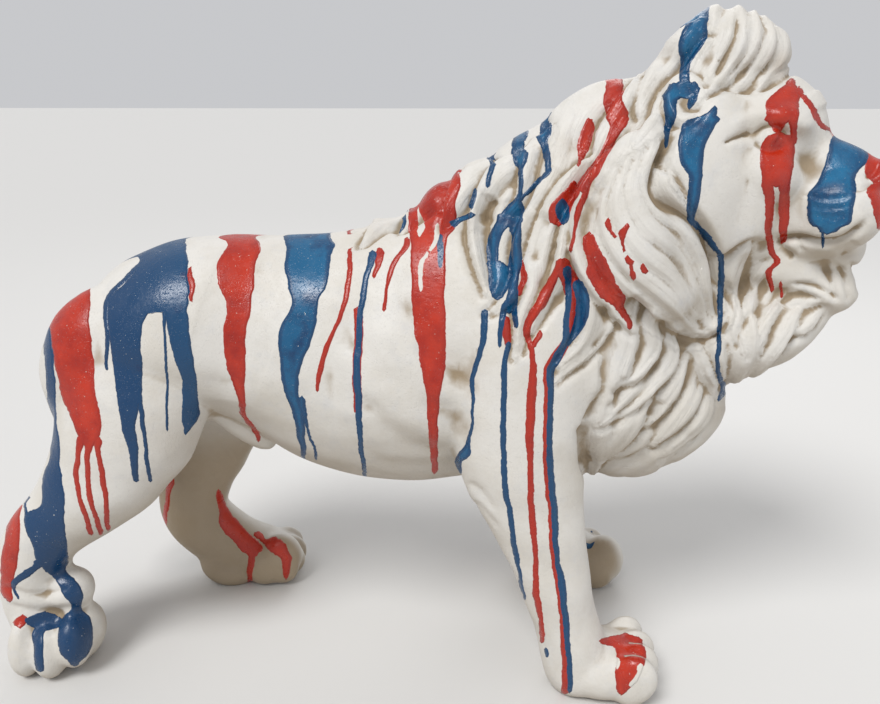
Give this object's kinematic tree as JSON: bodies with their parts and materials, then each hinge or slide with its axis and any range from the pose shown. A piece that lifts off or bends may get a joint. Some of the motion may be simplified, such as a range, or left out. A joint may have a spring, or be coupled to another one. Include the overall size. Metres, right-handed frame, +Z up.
{
  "type": "lion sculpture",
  "caption": "Cast sculpture of a walking lion with its head turned to its right, standing on its four paws, white with poured red and blue paint running down it.",
  "frame": {"origin": "middle of the bounding box in X and Y, on the ground under the paws", "axes": "+X the way the lion walks, +Y the lion's left side, +Z up"},
  "size_m": [1.2506, 0.4084, 0.9442],
  "materials": {
    "painted_cast_body": "brushed warm white paint over a sand and resin casting, with satin red and blue paint poured on in runs"
  },
  "bodies": {
    "root": {"lion": "painted_cast_body"}
  },
  "joints": []
}
